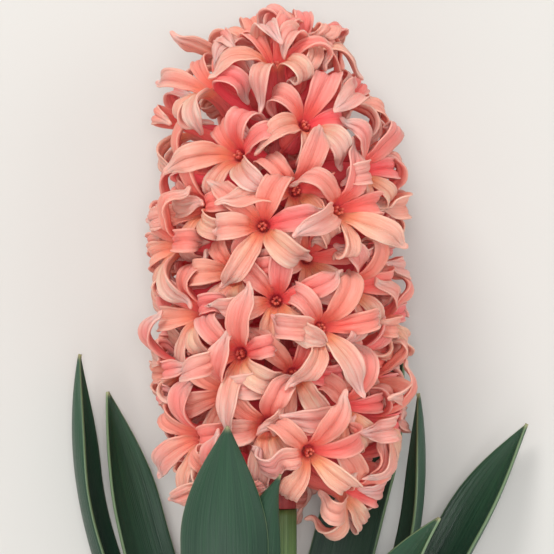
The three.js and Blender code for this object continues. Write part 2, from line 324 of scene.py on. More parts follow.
def petal_half_width(share):
    """Half the width of a full-size petal: narrow at the rim, widest at the middle, with a round nub."""
    share = np.asarray(share, float)
    full = mix(RIM_HALF_WIDTH, FULL_HALF_WIDTH, smoothstep(share, -0.1, 0.42))
    narrowed = full * (1 - TIP_NARROWING * smoothstep(share, 0.6, 0.95))
    return narrowed * rounding(share)


def rounding(share):
    """Brings a petal's width and thickness to nothing in a round end."""
    past = np.clip((np.asarray(share, float) - NUB_FROM) / (1 - NUB_FROM), 0, 1)
    return np.sqrt(np.maximum(1 - past**2, 0.02))


ROW_SHARES = np.linspace(0, 0.975, PETAL_ROWS)
COLUMN_SHARES = np.linspace(-1, 1, PETAL_COLUMNS)
MIDLINE_STEPS = 60
RIM_ANGLE = math.radians(22)
SPREAD_BY = 0.42
RIM_CUP = 0.27
TIP_CUP = 0.45
BUD_SIZE = 0.4
BUD_WIDTH = 0.7
BUD_ANGLE = math.radians(3)
BUD_TIP_ANGLE = math.radians(30)
BUD_BULGE = 1.2
INNER_BUD_CUP = 0.5
OUTER_BUD_CUP = 0.36


def summed(steps):
    """Running sums along each row, from zero."""
    return np.pad(np.cumsum(steps, axis=1), ((0, 0), (1, 0)))


def petal_shapes(opened):
    """Control points of every petal, rows by columns, when each has opened by its own share."""
    steps = np.linspace(0, 1, MIDLINE_STEPS + 1)
    grown = mix(BUD_SIZE, 1, smoothstep(opened, 0, 0.7))[:, None]
    opened = opened[:, None]
    outer = (1 - PETAL_INNER)[:, None]

    # The midline, from the rim outwards
    spread = np.sin(np.minimum(1, steps / SPREAD_BY) * math.pi / 2)
    bend_from = (PETAL_BEND_AT - PETAL_BEND_SPAN / 2)[:, None]
    bend = eased((steps - bend_from) / PETAL_BEND_SPAN[:, None])
    open_angle = mix(RIM_ANGLE, PETAL_OPEN[:, None], spread) + PETAL_HOOK[:, None] * bend
    open_angle = open_angle - PETAL_TIP_LIFT[:, None] * smoothstep(steps, 0.8, 1)
    bud_angle = BUD_ANGLE - BUD_TIP_ANGLE * smoothstep(steps, 0.75, 1)
    angle = mix(bud_angle, open_angle, opened)
    middle = (angle[:, 1:] + angle[:, :-1]) / 2
    step = grown * PETAL_REACH[:, None] / MIDLINE_STEPS
    out = THROAT_RADIUS + summed(np.sin(middle) * step)
    forward = summed(np.cos(middle) * step)
    at_row = ROW_SHARES * MIDLINE_STEPS
    low = np.minimum(at_row.astype(int), MIDLINE_STEPS - 1)
    part = at_row - low
    out, forward, angle = [mix(line[:, low], line[:, low + 1], part) for line in (out, forward, angle)]
    out = out + BUD_BULGE * outer * (1 - opened) * smoothstep(ROW_SHARES, 0, 0.3)

    # The directions across it and towards its inner face
    radial = direction(PETAL_AZIMUTH, PETAL_SIDE, PETAL_UP)[:, None]
    axis = PETAL_AXIS[:, None]
    across = np.cross(radial, axis)
    inner = axis * np.sin(angle)[..., None] - radial * np.cos(angle)[..., None]
    twist = (PETAL_TWIST[:, None] * opened * smoothstep(ROW_SHARES, 0.1, 1))[..., None]
    turned = across * np.cos(twist) + inner * np.sin(twist)
    inner = inner * np.cos(twist) - across * np.sin(twist)
    sideways = (PETAL_LEAN[:, None] * opened * ROW_SHARES**2)[..., None]
    centre = PETAL_THROAT[:, None] + radial * out[..., None] + axis * forward[..., None] + across * sideways

    # The cupped surface, whose first row is part of the rim
    half = petal_half_width(ROW_SHARES) * (PETAL_SIZE * PETAL_WIDTH)[:, None] * mix(BUD_WIDTH, 1, grown)
    open_cup = mix(RIM_CUP, PETAL_CUP[:, None], smoothstep(ROW_SHARES, 0.05, 0.35))
    open_cup = mix(open_cup, PETAL_END_CUP[:, None], smoothstep(ROW_SHARES, 0.5, 0.85))
    open_cup = mix(open_cup, TIP_CUP, smoothstep(ROW_SHARES, 0.85, 1))
    bud_cup = mix(RIM_CUP, mix(INNER_BUD_CUP, OUTER_BUD_CUP, outer), smoothstep(ROW_SHARES, 0, 0.3))
    depth = (mix(bud_cup, open_cup, opened) * half)[..., None, None]
    spread_across = (half[..., None] * COLUMN_SHARES)[..., None]
    points = (centre[:, :, None] + turned[:, :, None] * spread_across
              + inner[:, :, None] * depth * (COLUMN_SHARES**2)[:, None])
    turns = mix(PETAL_SEAMS[:, 1:], PETAL_SEAMS[:, :1], (COLUMN_SHARES + 1) / 2)
    ring = direction(turns, PETAL_SIDE[:, None], PETAL_UP[:, None])
    points[:, 0] = PETAL_THROAT[:, None] + THROAT_RADIUS * ring
    return points


# Leaves: their mid surfaces

def curve(pulls, t):
    """Points at shares t of the cubic curve with these four pulls."""
    return ((1 - t)**3 * pulls[0] + 3 * (1 - t)**2 * t * pulls[1] + 3 * (1 - t) * t**2 * pulls[2]
            + t**3 * pulls[3])


def leaf_midline(leaf, stations):
    """Points and directions along a leaf's midline at shares of its length."""
    ring_radius = FIRST_RING_RADIUS + RING_PITCH * leaf["ring"]
    angle = math.radians(leaf["angle"])
    outward = np.array([math.cos(angle), 0, math.sin(angle)])
    foot = np.array([STALK_X, CUT_END_Y + PLATE_THICKNESS + SEAT_GAP, PLATE_RADIUS]) + ring_radius * outward
    pulls = np.array([foot, leaf["rise"], leaf["lean"], leaf["tip"]], float)
    t = np.linspace(0, 1, 401)[:, None]
    lengths = np.concatenate([[0], np.cumsum(np.linalg.norm(np.diff(curve(pulls, t), axis=0), axis=1))])
    at = np.interp(np.asarray(stations) * lengths[-1], lengths, t[:, 0])[:, None]
    along = unit((1 - at)**2 * (pulls[1] - pulls[0]) + 2 * (1 - at) * at * (pulls[2] - pulls[1])
                 + at**2 * (pulls[3] - pulls[2]))
    return curve(pulls, at), along, outward, ring_radius, lengths[-1]


def leaf_surface(leaf, stations, shares):
    """Mid surface points, their normals towards the stalk side, and half thicknesses, rows by columns."""
    middle, along, outward, ring_radius, length = leaf_midline(leaf, stations)
    wrap = math.radians(leaf["wrap"])
    foot_width = 2 * wrap * ring_radius
    to_tip = length * (1 - stations)
    taper = np.sin(math.pi / 2 * np.minimum(1, to_tip / LEAF_TIP_TAPER))
    width = mix(foot_width, leaf["width"], smoothstep(stations, 0.05, 0.55)) * taper
    bend = mix(wrap, math.radians(leaf["fold"]), smoothstep(stations, 0.05, 0.6))
    bend = mix(bend, math.radians(60), smoothstep(stations, 0.75, 1))
    thickness = LEAF_THICKNESS * mix(0.75, 1, taper)
    inner = mix(-outward, np.array(leaf["facing"], float), smoothstep(stations, 0.08, 0.65)[:, None])
    inner = unit(inner - along * np.sum(inner * along, axis=1, keepdims=True))
    across = np.cross(along, inner)
    radius = (width / (2 * bend))[:, None, None]
    angle = (bend[:, None] * shares)[..., None]
    normal = inner[:, None] * np.cos(angle) - across[:, None] * np.sin(angle)
    surface = middle[:, None] + radius * (inner[:, None] - normal)
    half = thickness[:, None] / 2 * (1 - 0.45 * shares**2)
    return surface, normal, half


# The petals open: how near things come, and how far from each other they are looked for

TOUCH = 1.25
EDGE_TOUCH = 1.0
LEAF_TOUCH = 1.7
SEARCH = 3.2
TUBE_RADIUS = 4.2
TUBE_LENGTH = 14.0
TUBE_CLEARANCE = 0.8
TUBE_MOUTH = 1.5
TUBE_SEARCH = 14.0
FLOOR_CLEARANCE = 1.1
LEAF_FROM_Y = -32
LEAF_FROM_AXIS = 50
OFF_THE_MARGIN = 0.4
FLAT = 0.5
DISTANCE_STEPS = 4096

# The steps of the opening, how strongly each holds the petals, and when their sides are put to the vote again
OPENING_STEPS = 60
SETTLING_STEPS = 36
PASSES = 4
VOTE_AGAIN = 10
VOTE_AGAIN_SETTLING = 5
MOST_PRESS = 0.6
CROWD_SHARE = 0.7
HOLD_AT_RIM = 0.5
HOLD_AT_TIP = 0.06
SECOND_ROW_HOLD = 0.7
SETTLING_HOLD = 0.15
EVENING = 0.35
EVENING_SETTLING = 0.2
LINK_STRENGTH = 0.45
LINKS = [(1, 0), (0, 1), (1, 1), (2, 0), (0, 2), (0, 4)]
ROOT_ROWS = 2
OWN_TUBE_ROWS = 5
PARTS = 3


def leaf_obstacles():
    """Points of the leaves' skins near the head, their normals towards the stalk and the leaf they are on."""
    points, normals, owners = [], [], []
    for number, leaf in enumerate(LEAVES):
        skin, normal, _ = leaf_surface(leaf, np.linspace(0.35, 0.99, 60), np.linspace(-1, 1, 13))
        skin, normal = skin.reshape(-1, 3), normal.reshape(-1, 3)
        from_axis = np.hypot(skin[:, 0] - STALK_X, skin[:, 2] - HEAD_AXIS_Z)
        near_head = (skin[:, 1] > LEAF_FROM_Y) & (from_axis < LEAF_FROM_AXIS)
        points.append(skin[near_head])
        normals.append(normal[near_head])
        owners.append(np.full(near_head.sum(), len(PETALS) + number))
    return np.concatenate(points), np.concatenate(normals), np.concatenate(owners)


def neighbours(points, radius, owner):
    """Pairs of points of different owners nearer to each other than radius, found through a grid of cells."""
    cell = np.floor((points - points.min(axis=0)) / radius).astype(np.int64) + 1
    size = cell.max(axis=0) + 2
    key = (cell[:, 0] * size[1] + cell[:, 1]) * size[2] + cell[:, 2]
    order = np.argsort(key, kind="stable")
    in_order = key[order]
    sorted_points, sorted_owner = points[order].astype(np.float32), owner[order]
    everyone = np.arange(len(points))
    firsts, seconds = [], []
    for x, y, z in itertools.product((-1, 0, 1), repeat=3):
        shift = (x * size[1] + y) * size[2] + z
        if shift < 0:
            continue
        low = np.searchsorted(in_order, in_order + shift, "left")
        count = np.searchsorted(in_order, in_order + shift, "right") - low
        first = np.repeat(everyone, count)
        second = np.arange(count.sum()) + np.repeat(low - np.cumsum(count) + count, count)
        other = sorted_owner[first] != sorted_owner[second]
        if shift == 0:
            other &= first < second
        first, second = first[other], second[other]
        gap = sorted_points[first] - sorted_points[second]
        near = np.einsum("ij,ij->i", gap, gap) < radius**2
        firsts.append(order[first[near]])
        seconds.append(order[second[near]])
    return np.concatenate(firsts), np.concatenate(seconds)


def skin_normals(shape):
    return unit(np.cross(np.gradient(shape, axis=2), np.gradient(shape, axis=1)))


def outward_edges(shape):
    """At the margins of each petal, the direction that leads off it; zero elsewhere."""
    away = np.zeros_like(shape)
    away[:, :, 0] += unit(shape[:, :, 0] - shape[:, :, 1])
    away[:, :, -1] += unit(shape[:, :, -1] - shape[:, :, -2])
    away[:, -1] += unit(shape[:, -1] - shape[:, -2])
    return away


def nearest_contacts(points, owner, pairs):
    """For each point and each other petal or leaf near it, the nearest point there."""
    first = np.concatenate(pairs)
    second = np.concatenate(pairs[::-1])
    gap = points[first] - points[second]
    distance = np.einsum("ij,ij->i", gap, gap)
    key = first * (owner.max() + 1) + owner[second]
    nearness = (distance * (DISTANCE_STEPS - 1) / SEARCH**2).astype(np.int64)
    order = np.argsort(key * DISTANCE_STEPS + nearness, kind="stable")
    key = key[order]
    leads = np.concatenate([[True], key[1:] != key[:-1]])
    return first[order][leads], second[order][leads]


def link_ends(shape, down, right):
    """Views of the points at both ends of every link that goes this far down and right."""
    rows, columns = shape.shape[1:3]
    return shape[:, :rows - down, :columns - right], shape[:, down:, right:]


def link_lengths(shape):
    lengths = {}
    for link in LINKS:
        a, b = link_ends(shape, *link)
        lengths[link] = np.linalg.norm(b - a, axis=-1, keepdims=True)
    return lengths


def keep_lengths(shape, rest):
    """Pulls neighbouring points of every petal back to their distances."""
    for link, length in rest.items():
        a, b = link_ends(shape, *link)
        line = b - a
        now = np.maximum(np.linalg.norm(line, axis=-1, keepdims=True), 1e-6)
        fix = LINK_STRENGTH * 0.5 * line * (1 - length / now)
        a += fix
        b -= fix
    return shape


def even_out(shape, target, share):
    """Spreads each point's departure from its target to its neighbours, so that a petal bends as a whole."""
    departure = shape - target
    padded = np.pad(departure, ((0, 0), (1, 1), (1, 1), (0, 0)), mode="edge")
    around = (padded[:, :-2, 1:-1] + padded[:, 2:, 1:-1] + padded[:, 1:-1, :-2] + padded[:, 1:-1, 2:]) / 4
    return target + mix(departure, around, share)


def lie_over(points, normals, away, p, q):
    """For each contact the gap from q to p, p's height over q's skin, and whether p isn't off q's margin."""
    gap = points[p] - points[q]
    height = np.sum(gap * normals[q], axis=1)
    return gap, height, np.sum(gap * away[q], axis=1) < OFF_THE_MARGIN


def lie_of(p, q, part, normals, sides, edge_sides, moving):
    """For each contact, the side of q's petal where p belongs: 1 its inner face, -1 its back, 0 unknown."""
    alike = np.sum(normals[p] * normals[q], axis=1)
    lies_flat = np.abs(alike) > FLAT
    earlier, later = np.minimum(part[p], part[q]), np.maximum(part[p], part[q])
    flat_side = sides[earlier, later] * np.where(part[p] < part[q], -np.sign(alike), 1)
    side = np.where(lies_flat, flat_side, edge_sides[part[p], part[q]])
    side = np.where(q >= moving, 1, side)
    return np.where(p >= moving, np.where(lies_flat, -np.sign(alike), 0), side)


def gathered(numbers, pushes, count):
    """The sum of the pushes on each point."""
    return np.stack([np.bincount(numbers, pushes[:, k], count) for k in range(3)], axis=1)


def press_petals(points, normals, away, contacts, side, moving):
    """Moves points that are too near another petal or a leaf to the side of it where they belong."""
    p, q = contacts
    gap, height, over = lie_over(points, normals, away, p, q)
    p_fixed, q_fixed = p >= moving, q >= moving
    touch = np.where(p_fixed | q_fixed, LEAF_TOUCH, TOUCH)
    press = np.where(over & (side != 0), np.clip(touch - side * height, 0, MOST_PRESS), 0)
    push = normals[q] * (side * press)[:, None]
    distance = np.maximum(np.linalg.norm(gap, axis=1), 1e-6)
    edge_press = np.where(over, 0, np.maximum(EDGE_TOUCH - distance, 0))
    push += gap * (edge_press / distance)[:, None]
    pressed = (press > 0) | (edge_press > 0)
    p_share = np.where(p_fixed, 0, np.where(q_fixed, 1, 0.5))[:, None]
    q_share = np.where(q_fixed, 0, np.where(p_fixed, 1, 0.5))[:, None]
    count = np.bincount(p, pressed, len(points)) + np.bincount(q, pressed, len(points))
    shift = gathered(p, push * p_share, len(points)) - gathered(q, push * q_share, len(points))
    return points + shift / np.maximum(1, CROWD_SHARE * count)[:, None]


def choose_sides(points, normals, away, part, contacts, sides, edge_sides, moving, again):
    """Parts of petals that meet keep the sides where most of their points first lie, until they part or it
    is put to the vote again. Where they stand across each other, each one's side of the other is its own."""
    p, q = contacts
    both_move = (p < moving) & (q < moving)
    p, q = p[both_move], q[both_move]
    _, height, over = lie_over(points, normals, away, p, q)
    alike = np.sum(normals[p] * normals[q], axis=1)
    lies_flat = over & (np.abs(alike) > FLAT)
    across = over & (np.abs(alike) <= FLAT)
    vote = np.sign(height) * np.where(part[p] > part[q], 1, -np.sign(alike)) * lies_flat
    size = len(sides)
    chosen = []
    for key, votes, met, kept in (
            (np.minimum(part[p], part[q]) * size + np.maximum(part[p], part[q]), vote, lies_flat, sides),
            (part[p] * size + part[q], np.sign(height) * across, across, edge_sides)):
        votes = np.bincount(key, votes, size * size).reshape(size, size)
        met = np.bincount(key, met, size * size).reshape(size, size) > 0
        chosen.append(np.where(met, np.where((kept != 0) & ~again, kept, np.sign(votes)), 0))
    return chosen


def off_the_tubes(points, candidates, tips, axes):
    """Moves points out of the florets' tubes."""
    point, tube = candidates
    away = points[point] - tips[tube]
    depth = np.clip(-np.sum(away * axes[tube], axis=1), TUBE_MOUTH, TUBE_LENGTH)
    away = away + axes[tube] * depth[:, None]
    distance = np.linalg.norm(away, axis=1)
    press = np.maximum(TUBE_RADIUS + TUBE_CLEARANCE - distance, 0) / np.maximum(distance, 1e-6)
    return points + gathered(point, away * press[:, None], len(points))


def open_petals():
    """Petals start as closed buds and open against each other, the leaves, the tubes and the surface."""
    per = PETAL_ROWS * PETAL_COLUMNS
    petals = len(PETALS)
    moving = petals * per
    leaf_points, leaf_normals, leaf_owners = leaf_obstacles()
    owner = np.concatenate([np.arange(petals).repeat(per), leaf_owners])
    floret = np.concatenate([PETAL_FLORET.repeat(per), np.full(len(leaf_points), -1)])
    row = np.concatenate([np.tile(np.arange(PETAL_ROWS).repeat(PETAL_COLUMNS), petals),
                          np.full(len(leaf_points), PETAL_ROWS)])
    part = np.arange(petals)[:, None] * PARTS + np.arange(PETAL_ROWS) * PARTS // PETAL_ROWS
    part = np.concatenate([part.repeat(PETAL_COLUMNS), leaf_owners - petals + petals * PARTS])
    tips = np.array([place["throat"] for place in PLACES])
    axes = np.array([place["axis"] for place in PLACES])
    tube_middles = tips - TUBE_LENGTH / 2 * axes
    own_tube = (floret[:moving, None] == np.arange(FLORETS)) & (row[:moving, None] <= OWN_TUBE_ROWS)
    hold = mix(HOLD_AT_RIM, HOLD_AT_TIP, smoothstep(ROW_SHARES, 0, 0.55))[None, :, None, None]
    sides = edge_sides = np.zeros((petals * PARTS, petals * PARTS))
    steps = OPENING_STEPS + SETTLING_STEPS
    opening = max(2, steps - SETTLING_STEPS)
    shape = petal_shapes(np.zeros(petals))
    for step in range(steps):
        time = 2 * min(1, (step + 1) / opening)
        target = petal_shapes(smoothstep(time - PETAL_LATE, 0, 1))
        rest = link_lengths(target)
        normals = np.concatenate([skin_normals(shape).reshape(-1, 3), leaf_normals])
        away = np.concatenate([outward_edges(shape).reshape(-1, 3), np.zeros_like(leaf_normals)])
        points = np.concatenate([shape.reshape(-1, 3), leaf_points])
        first, second = neighbours(points, SEARCH, owner)
        roots = (floret[first] == floret[second]) & (row[first] <= ROOT_ROWS) & (row[second] <= ROOT_ROWS)
        apart = ~roots & ((first < moving) | (second < moving))
        contacts = nearest_contacts(points, owner, (first[apart], second[apart]))
        settling = step >= opening
        again = step % (VOTE_AGAIN_SETTLING if settling else VOTE_AGAIN) == 0
        sides, edge_sides = choose_sides(points, normals, away, part, contacts, sides, edge_sides, moving,
                                         again)
        side = lie_of(*contacts, part, normals, np.pad(sides, (0, len(LEAVES))),
                      np.pad(edge_sides, (0, len(LEAVES))), moving)
        near_tube = (np.sum(points[:moving]**2, axis=1)[:, None] + np.sum(tube_middles**2, axis=1)
                     - 2 * points[:moving] @ tube_middles.T) < TUBE_SEARCH**2
        candidates = np.nonzero(near_tube & ~own_tube)
        for _ in range(PASSES):
            shape = shape + hold * (SETTLING_HOLD if settling else 1) * (target - shape)
            shape = even_out(shape, target, EVENING_SETTLING if settling else EVENING)
            shape = keep_lengths(shape, rest)
            points = np.concatenate([shape.reshape(-1, 3), leaf_points])
            points = press_petals(points, normals, away, contacts, side, moving)[:moving]
            points = off_the_tubes(points, candidates, tips, axes)
            points[:, 2] = np.maximum(points[:, 2], FLOOR_CLEARANCE)
            shape = points.reshape(shape.shape)
            shape[:, 0] = target[:, 0]
            shape[:, 1] = mix(shape[:, 1], target[:, 1], SECOND_ROW_HOLD)
    return shape


# Florets: their meshes

TUBE_DEPTHS = np.array([15.0, 13.8, 12.2, 10.0, 7.5, 5.0, 3.0, 1.4, 0.0])
TUBE_RADII = np.array([1.5, 2.9, 3.9, 4.2, 3.8, 3.2, 3.0, 3.1, 3.35])
PEDICEL_RADIUS = 1.2
SHORTEST_PEDICEL = 4
FULL_TUBE_REACH = 17
INNER_DEPTHS = np.array([6.0, 5.2, 4.2, 3.0, 1.9, 0.9, 0.0])
INNER_RADII = np.array([0.4, 1.1, 1.5, 1.6, 1.7, 2.05, 2.65])
ROOT_DEPTH_IN_RACHIS = 3.0
AROUND = LOBES * (FINE_COLUMNS - 1)
LOBE_SHARES = 1 - (1 - np.linspace(0, 1, FINE_ROWS))**1.25
EDGE = np.linspace(-1, 1, FINE_COLUMNS)
BETWEEN_LOBES = np.tile(EDGE[:-1], LOBES)
FLUTED = 1 - 0.07 * np.abs(BETWEEN_LOBES)**4
ANTHER_RADIUS = 0.48
ANTHER_LENGTH = 2.2
ANTHER_DEPTH = 0.9
ANTHER_DEPTH_STRAY = 0.7
ANTHER_FROM_AXIS = 0.9
ANTHER_SIDE_STRAY = 0.22
ANTHER_SIDES = 8
ANTHER_HEIGHTS = np.array([-1, -0.8, -0.4, 0.5, 0.8, 0.95, 1])[:, None, None]
ANTHER_GIRTHS = np.array([0.3, 0.8, 1, 1, 0.85, 0.5, 0.2])[:, None, None]

# Relief across a petal, at shares of its half width: a crease, shoulders beside it, and side grooves
CREASE_WIDTH = 0.2
SHOULDER_AT, SHOULDER_WIDTH, SHOULDER_SHARE = 0.42, 0.22, 0.5
GROOVE_AT, GROOVE_WIDTH, GROOVE_DEPTH = 0.72, 0.12, 0.3
RIPPLE_HEIGHT = 0.3
ROLL_HEIGHT = 0.3
BACK_RIDGE = 0.14
FACE_GROOVES = 0.06

# Where the petals lie on the texture: a column for each side of each lobe
TEXTURE_SHARE = 0.9
RIM_UP = 0.4
PETAL_HEIGHTS = (RIM_UP, 0.96)


def ridge_at(place, width):
    """A ridge along both halves of a petal."""
    return np.exp(-((np.abs(EDGE) - place) / width)**2)


def fine_petals(shape):
    """Smooth mid surfaces of all petals with their exact outline, and their normals towards the face."""
    rows = spline_weights(PETAL_ROWS, LOBE_SHARES / ROW_SHARES[-1])
    columns = spline_weights(PETAL_COLUMNS, np.linspace(0, 1, FINE_COLUMNS))
    half = petal_half_width(ROW_SHARES)
    centre = shape[:, :, PETAL_COLUMNS // 2]
    spread = (shape - centre[:, :, None]) / half[:, None, None]
    fine_centre = np.einsum("ar,prk->pak", rows, centre)
    fine_spread = np.einsum("ar,bc,prck->pabk", rows, columns, spread)
    surface = fine_centre[:, :, None] + fine_spread * petal_half_width(LOBE_SHARES)[:, None, None]
    phase = strayed(0, math.pi, 14)[:, None, None]
    crease = strayed(0.48, 0.22, 20)[:, None, None]
    share = LOBE_SHARES[None, :, None]
    ripple = RIPPLE_HEIGHT * np.sin(share * 15 + phase + 1.3 * np.sign(EDGE)) * np.abs(EDGE)**3
    rolled = -ROLL_HEIGHT * np.abs(EDGE)**6 * np.sin(share * 5 + 2 * phase)
    fold = (-crease * ridge_at(0, CREASE_WIDTH)
            + SHOULDER_SHARE * crease * ridge_at(SHOULDER_AT, SHOULDER_WIDTH))
    fold = fold - GROOVE_DEPTH * ridge_at(GROOVE_AT, GROOVE_WIDTH)
    relief = (ripple + rolled) * smoothstep(share, 0.15, 0.5) + fold * smoothstep(share, 0.02, 0.25)
    relief = relief * (1 - smoothstep(share, 0.8, 0.97))
    surface = surface + tip_normals(surface) * relief[..., None]
    return surface, tip_normals(surface)


def tip_normals(surface):
    """The skin's normals, steadied at the tip where the rows get short."""
    normal = skin_normals(surface)
    row = np.searchsorted(LOBE_SHARES, 0.9)
    middle = FINE_COLUMNS // 2
    along = surface[:, row:, middle] - surface[:, row - 1:-1, middle]
    across = surface[:, row:row + 1, -1] - surface[:, row:row + 1, 0]
    steady = unit(np.cross(across, along))
    share = smoothstep(LOBE_SHARES[row:], 0.88, 0.96)[None, :, None, None]
    normal[:, row:] = unit(mix(normal[:, row:], steady[:, :, None], share))
    return normal


def petal_skins(middle, normal):
    """The backs and faces of all petals: thin margins, a ridge along each back, fine grooves on each face."""
    share = LOBE_SHARES[:, None]
    half = PETAL_THICKNESS / 2 * (1 - 0.5 * np.abs(EDGE)**3) * mix(1, 1.9, smoothstep(share, 0.78, 0.94))
    round_margin = np.sqrt(np.maximum(1 - EDGE**2, 0.04))
    half = half * mix(1, round_margin, smoothstep(share, 0.88, 0.96)) * rounding(share)
    ridge = BACK_RIDGE * ridge_at(0, CREASE_WIDTH) * (1 - smoothstep(share, 0.7, 1))
    groove = FACE_GROOVES * np.cos(EDGE * 16) * smoothstep(share, 0.02, 0.2)
    groove = groove * (1 - smoothstep(share, 0.75, 1))
    return middle - normal * (half + ridge)[..., None], middle + normal * (half - groove)[..., None]


def ring_of_lobe(k):
    """Numbers round a floret's ring of the points along lobe k's foot, from one seam to the next."""
    per = FINE_COLUMNS - 1
    return np.append(np.arange(per) + k * per, (k - 1) % LOBES * per)


def anther_rings(place, azimuth, i, k):
    """A small upright capsule inside the throat."""
    radial = direction(azimuth, place["side"], place["up"])
    from_axis = ANTHER_FROM_AXIS + ANTHER_SIDE_STRAY * draw(i, k, 22)
    depth = ANTHER_DEPTH + ANTHER_DEPTH_STRAY * draw(i, k, 23)
    ring = direction(even_turns(ANTHER_SIDES), radial, np.cross(place["axis"], radial))
    return (place["throat"] + radial * from_axis - place["axis"] * depth
            + ANTHER_HEIGHTS * ANTHER_LENGTH / 2 * place["axis"] + ANTHER_GIRTHS * ANTHER_RADIUS * ring)


def texture_x(column):
    return np.asarray(column) * TEXTURE_SHARE / (2 * LOBES)


def build_floret(i, backs, faces, material):
    """One closed skin, with pedicel, tube and lobe backs outside and throat and faces inside; anthers too."""
    place = PLACES[i]
    petals = slice(i * LOBES, (i + 1) * LOBES)
    seams = PETAL_SEAMS[petals]
    turns = np.concatenate([np.linspace(high, low, FINE_COLUMNS)[:-1] for low, high in seams])
    radial = direction(turns, place["side"], place["up"])
    room = min(1.0, (place["reach"] - SHORTEST_PEDICEL) / FULL_TUBE_REACH)
    root = place["reach"] - ROOT_DEPTH_IN_RACHIS
    outer_depths = np.concatenate([[root, mix(root, TUBE_DEPTHS[0] * room, 0.6)], TUBE_DEPTHS * room])
    outer_radii = np.concatenate([[PEDICEL_RADIUS] * 2, TUBE_RADII * mix(0.85, 1, room)])
    outer_radii[-1] = TUBE_RADII[-1]
    tints = np.array([0.5 + 0.5 * draw(i, k, 15) for k in range(LOBES)])

    body = Body()
    rims = []
    for side, depths, radii, lobes in ((0, outer_depths, outer_radii, backs[petals]),
                                       (1, INNER_DEPTHS * room, INNER_RADII, faces[petals])):
        rings = (place["throat"] - depths[:, None, None] * place["axis"]
                 + (radii[:, None] * FLUTED)[..., None] * radial)
        tube = body.add_points(rings, along=-depths[:, None] / TUBE_DEPTHS[0], across=BETWEEN_LOBES,
                               tint=tints.repeat(FINE_COLUMNS - 1))
        lobe = body.add_points(lobes[:, 1:], along=LOBE_SHARES[1:, None], across=EDGE,
                               tint=tints[:, None, None])
        heights = np.concatenate([np.linspace(0.01, RIM_UP, len(tube)),
                                  np.linspace(*PETAL_HEIGHTS, FINE_ROWS)[1:]])
        grids = [np.concatenate([tube[:, ring_of_lobe(k)], lobe[k]]) for k in range(LOBES)]
        for k, grid in enumerate(grids):
            columns = np.linspace(2 * k + side + 0.04, 2 * k + side + 0.86, FINE_COLUMNS)
            body.add_quads(grid, texture_grid(texture_x(columns), heights), turned=side == 0)
        rims.append([grid[len(tube) - 1:] for grid in grids])
        end = tube[0].reshape(LOBES, -1)[::-1].ravel()
        body.add_cap(end if side == 0 else end[::-1], (0.95, (0.05, 0.12)[side]), 0.02)

    # Bands along both margins and over the tip join each lobe's back to its face
    for k, (back, face) in enumerate(zip(*rims)):
        for column, first, second, slot in ((0, face, back, 2 * k), (-1, back, face, 2 * k + 1)):
            across = texture_x([slot + 0.9, slot + 0.98])
            places = texture_patch(FINE_ROWS, 2, across, PETAL_HEIGHTS).swapaxes(0, 1)
            body.add_quads(np.stack([first[:, column], second[:, column]]), places)
        across = texture_x([2 * k + 0.04, 2 * k + 1.86])
        body.add_quads(np.stack([face[-1], back[-1]]), texture_patch(2, FINE_COLUMNS, across, (0.97, 0.985)))

    for k in range(LOBES):
        low = 0.2 + 0.12 * k
        body.add_tube(anther_rings(place, PETAL_AZIMUTH[i * LOBES + k], i, k), (0.91, 0.99), (low, low + 0.1),
                      ((0.95, low + 0.11), (0.93, low + 0.11)), 0.01, along=-0.1, across=0, tint=tints[k])
    body.finish(f"floret_{i + 1:02d}", material, "flower_head")


# Colours

def srgb(red, green, blue):
    """A colour as seen, given as 0 to 255, in the renderer's linear numbers."""
    parts = [c / 255 / 12.92 if c <= 10 else ((c / 255 + 0.055) / 1.055)**2.4 for c in (red, green, blue)]
    return (*parts, 1.0)


